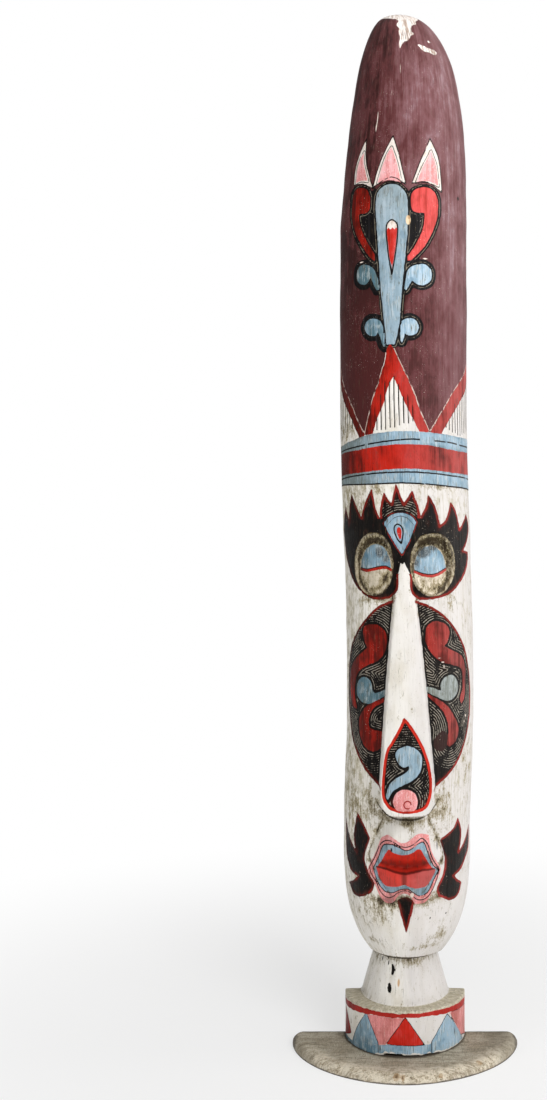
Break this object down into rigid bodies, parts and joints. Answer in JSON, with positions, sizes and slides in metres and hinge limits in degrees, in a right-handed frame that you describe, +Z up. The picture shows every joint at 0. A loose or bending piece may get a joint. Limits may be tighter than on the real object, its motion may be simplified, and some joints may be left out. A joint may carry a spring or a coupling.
{
  "type": "totem pole",
  "caption": "Half-round painted wooden totem pole: tall headdress, long-nosed mask face, neck and patterned drum collar, carved from one log and standing on a half-oval plank.",
  "frame": {"origin": "on the ground, at the middle of the plank's length and depth", "axes": "+Z up along the pole, the carved front faces -Y, the flat back faces +Y, +X is the viewer's right"},
  "size_m": [0.415, 0.176, 1.898],
  "materials": {
    "painted_wood": "worn semi-gloss paint: off-white, plum, red, pale blue, pink and black over carved wood",
    "weathered_wood": "worn grey-beige paint with grime and rust spots"
  },
  "bodies": {
    "root": {"carved_pole": "painted_wood", "base_plank": "weathered_wood"}
  },
  "joints": []
}
